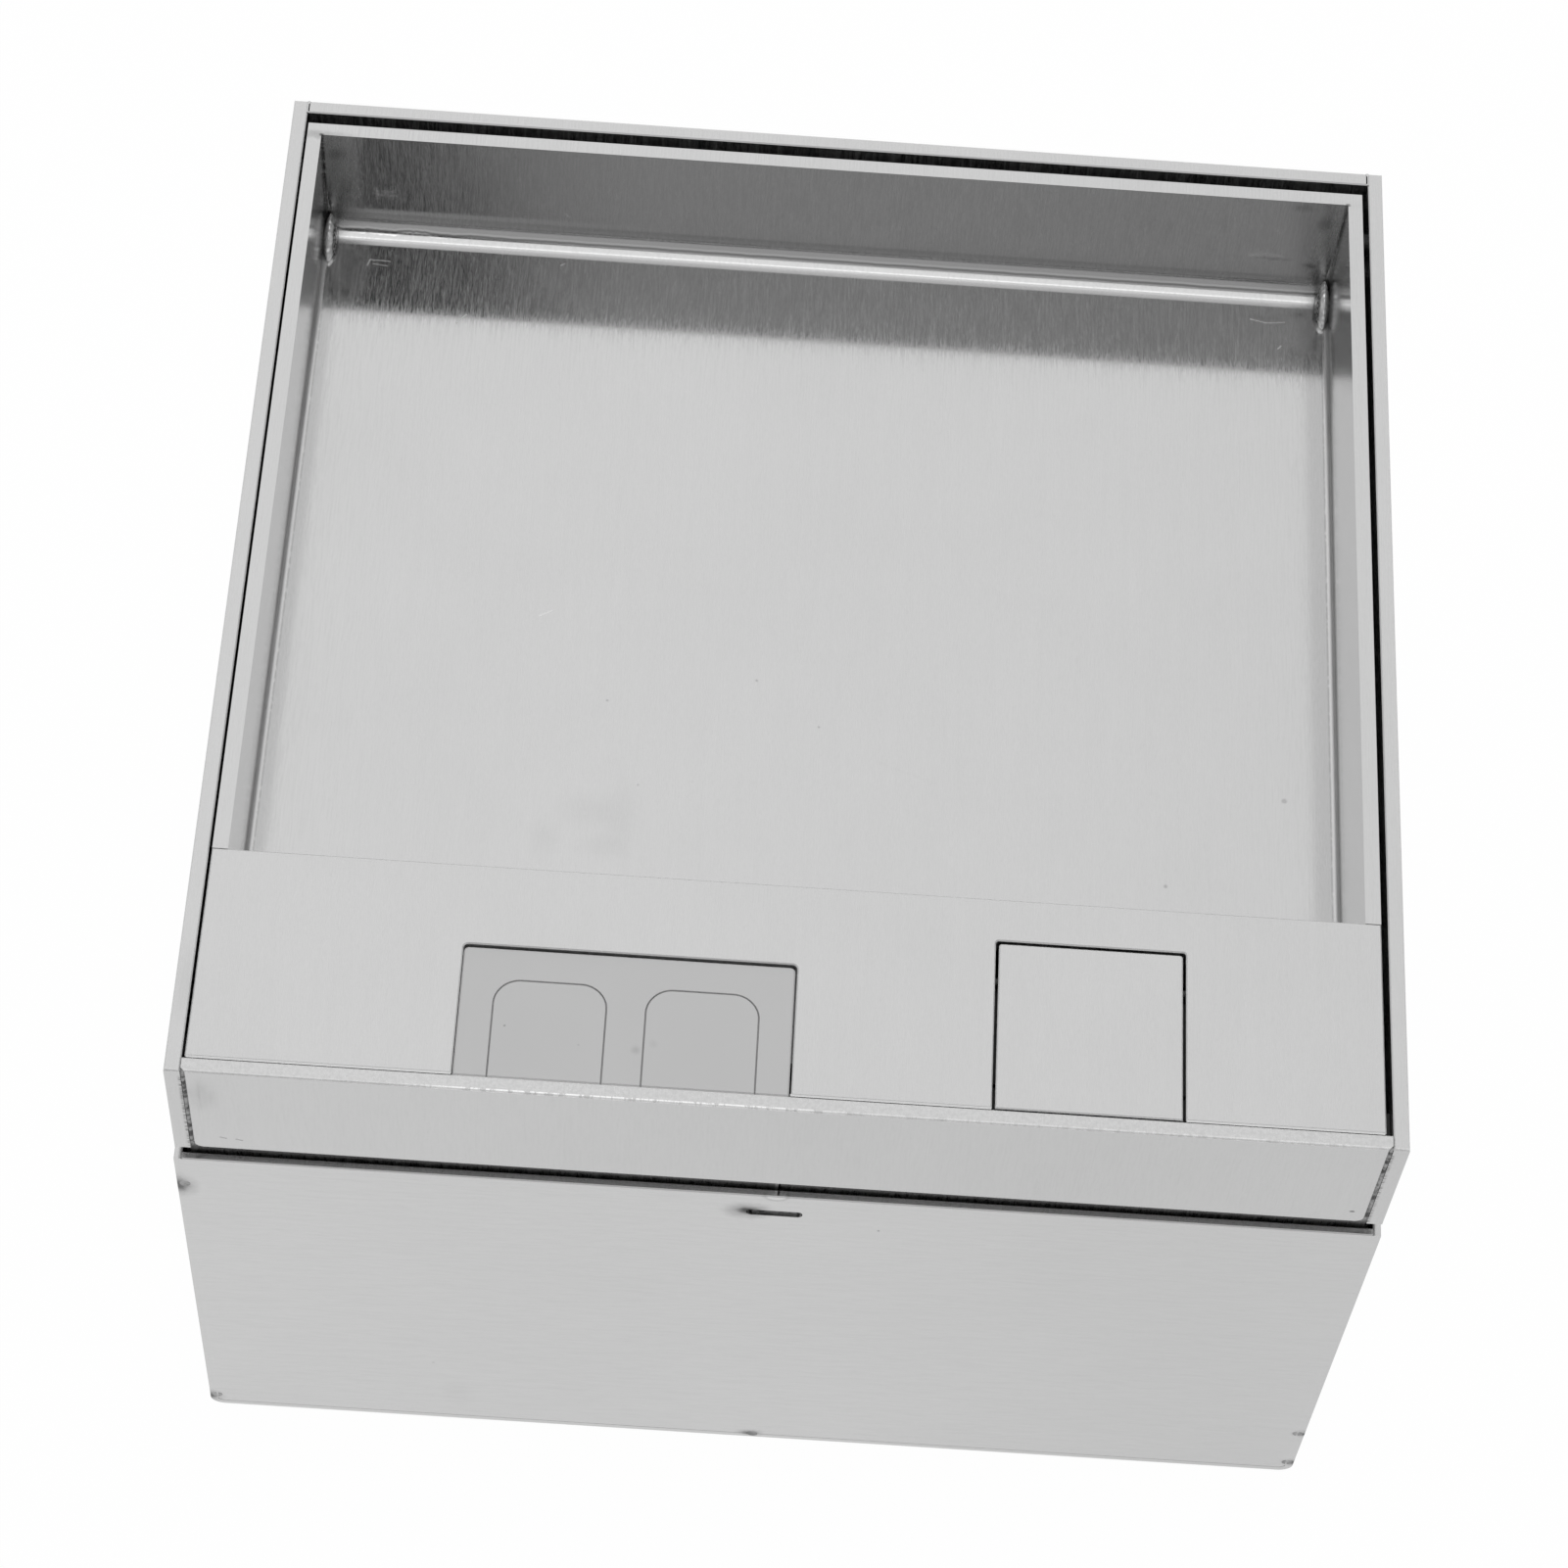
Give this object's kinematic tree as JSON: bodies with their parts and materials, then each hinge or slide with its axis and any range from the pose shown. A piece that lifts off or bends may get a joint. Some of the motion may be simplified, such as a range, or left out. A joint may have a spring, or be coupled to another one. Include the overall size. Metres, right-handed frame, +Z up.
{
  "type": "floor socket box",
  "caption": "Square brushed steel floor box with a hinged tray lid for floor covering, a cable outlet, a lift flap, and power and data outlets on a carrier inside.",
  "frame": {"origin": "centre of the box's underside", "axes": "+Z up through the lid, -Y towards the cover plate with the cable outlet and flap, +X to the right"},
  "size_m": [0.231, 0.231, 0.153],
  "materials": {
    "steel_plate": "brushed stainless steel, grain front to back",
    "steel_box": "brushed stainless steel, grain side to side",
    "steel_inner": "mill finish steel",
    "weld": "bare weld",
    "fixings": "bright zinc plated",
    "grey_plastic": "fine matt moulding",
    "rubber": "matt",
    "outlet_plastic": "satin moulding",
    "trim_plastic": "fine matt moulding",
    "jack_plastic": "matt",
    "spring_steel": "bright",
    "brass": "bright"
  },
  "bodies": {
    "box": {"frame_plate_left": "steel_plate", "frame_plate_right": "steel_plate", "frame_plate_front": "steel_plate", "frame_plate_back": "steel_plate", "box_body": "steel_box", "box_front_panel": "steel_box", "box_back_panel": "steel_box", "inner_collar": "steel_box", "rest_brackets": "steel_inner", "front_ledge": "steel_inner", "carrier_rail_left": "steel_inner", "carrier_rail_right": "steel_inner", "carrier_plate": "steel_inner", "box_tack_welds": "weld", "frame_corner_welds": "weld", "levelling_nuts": "fixings", "levelling_screws": "fixings", "hinge_pins": "fixings", "carrier_screws": "fixings", "carrier_nuts": "fixings", "trim_screws": "fixings", "lid_buffers": "rubber", "power_socket_left": "outlet_plastic", "power_socket_middle": "outlet_plastic", "power_socket_right": "outlet_plastic", "data_module": "outlet_plastic", "blank_module_middle": "outlet_plastic", "blank_module_right": "outlet_plastic", "power_trim": "trim_plastic", "data_trim": "trim_plastic", "data_jack_left": "jack_plastic", "data_jack_right": "jack_plastic", "socket_earth_clips": "spring_steel", "socket_contacts": "brass", "jack_contacts": "brass", "earth_stud": "brass", "earth_nuts": "brass", "earth_washers": "brass"},
    "lid": {"lid_tray": "steel_plate", "lid_cover_plate": "steel_plate", "tray_corner_welds": "weld", "cable_outlet_insert": "grey_plastic", "flap_rest_strips": "steel_inner", "flap_stop_bracket": "steel_inner"},
    "flap": {"lift_flap": "steel_plate", "flap_pin": "fixings"}
  },
  "joints": [
    {"name": "lid_hinge", "type": "hinge", "parent": "box", "child": "lid", "pos_m": [0, 0.1012, 0.1465], "axis": [-1, 0, 0], "range_deg": [0, 110]},
    {"name": "flap_tilt", "type": "hinge", "parent": "lid", "child": "flap", "pos_m": [0.0555, -0.0845, 0.1515], "axis": [-1, 0, 0], "range_deg": [0, 45]}
  ]
}
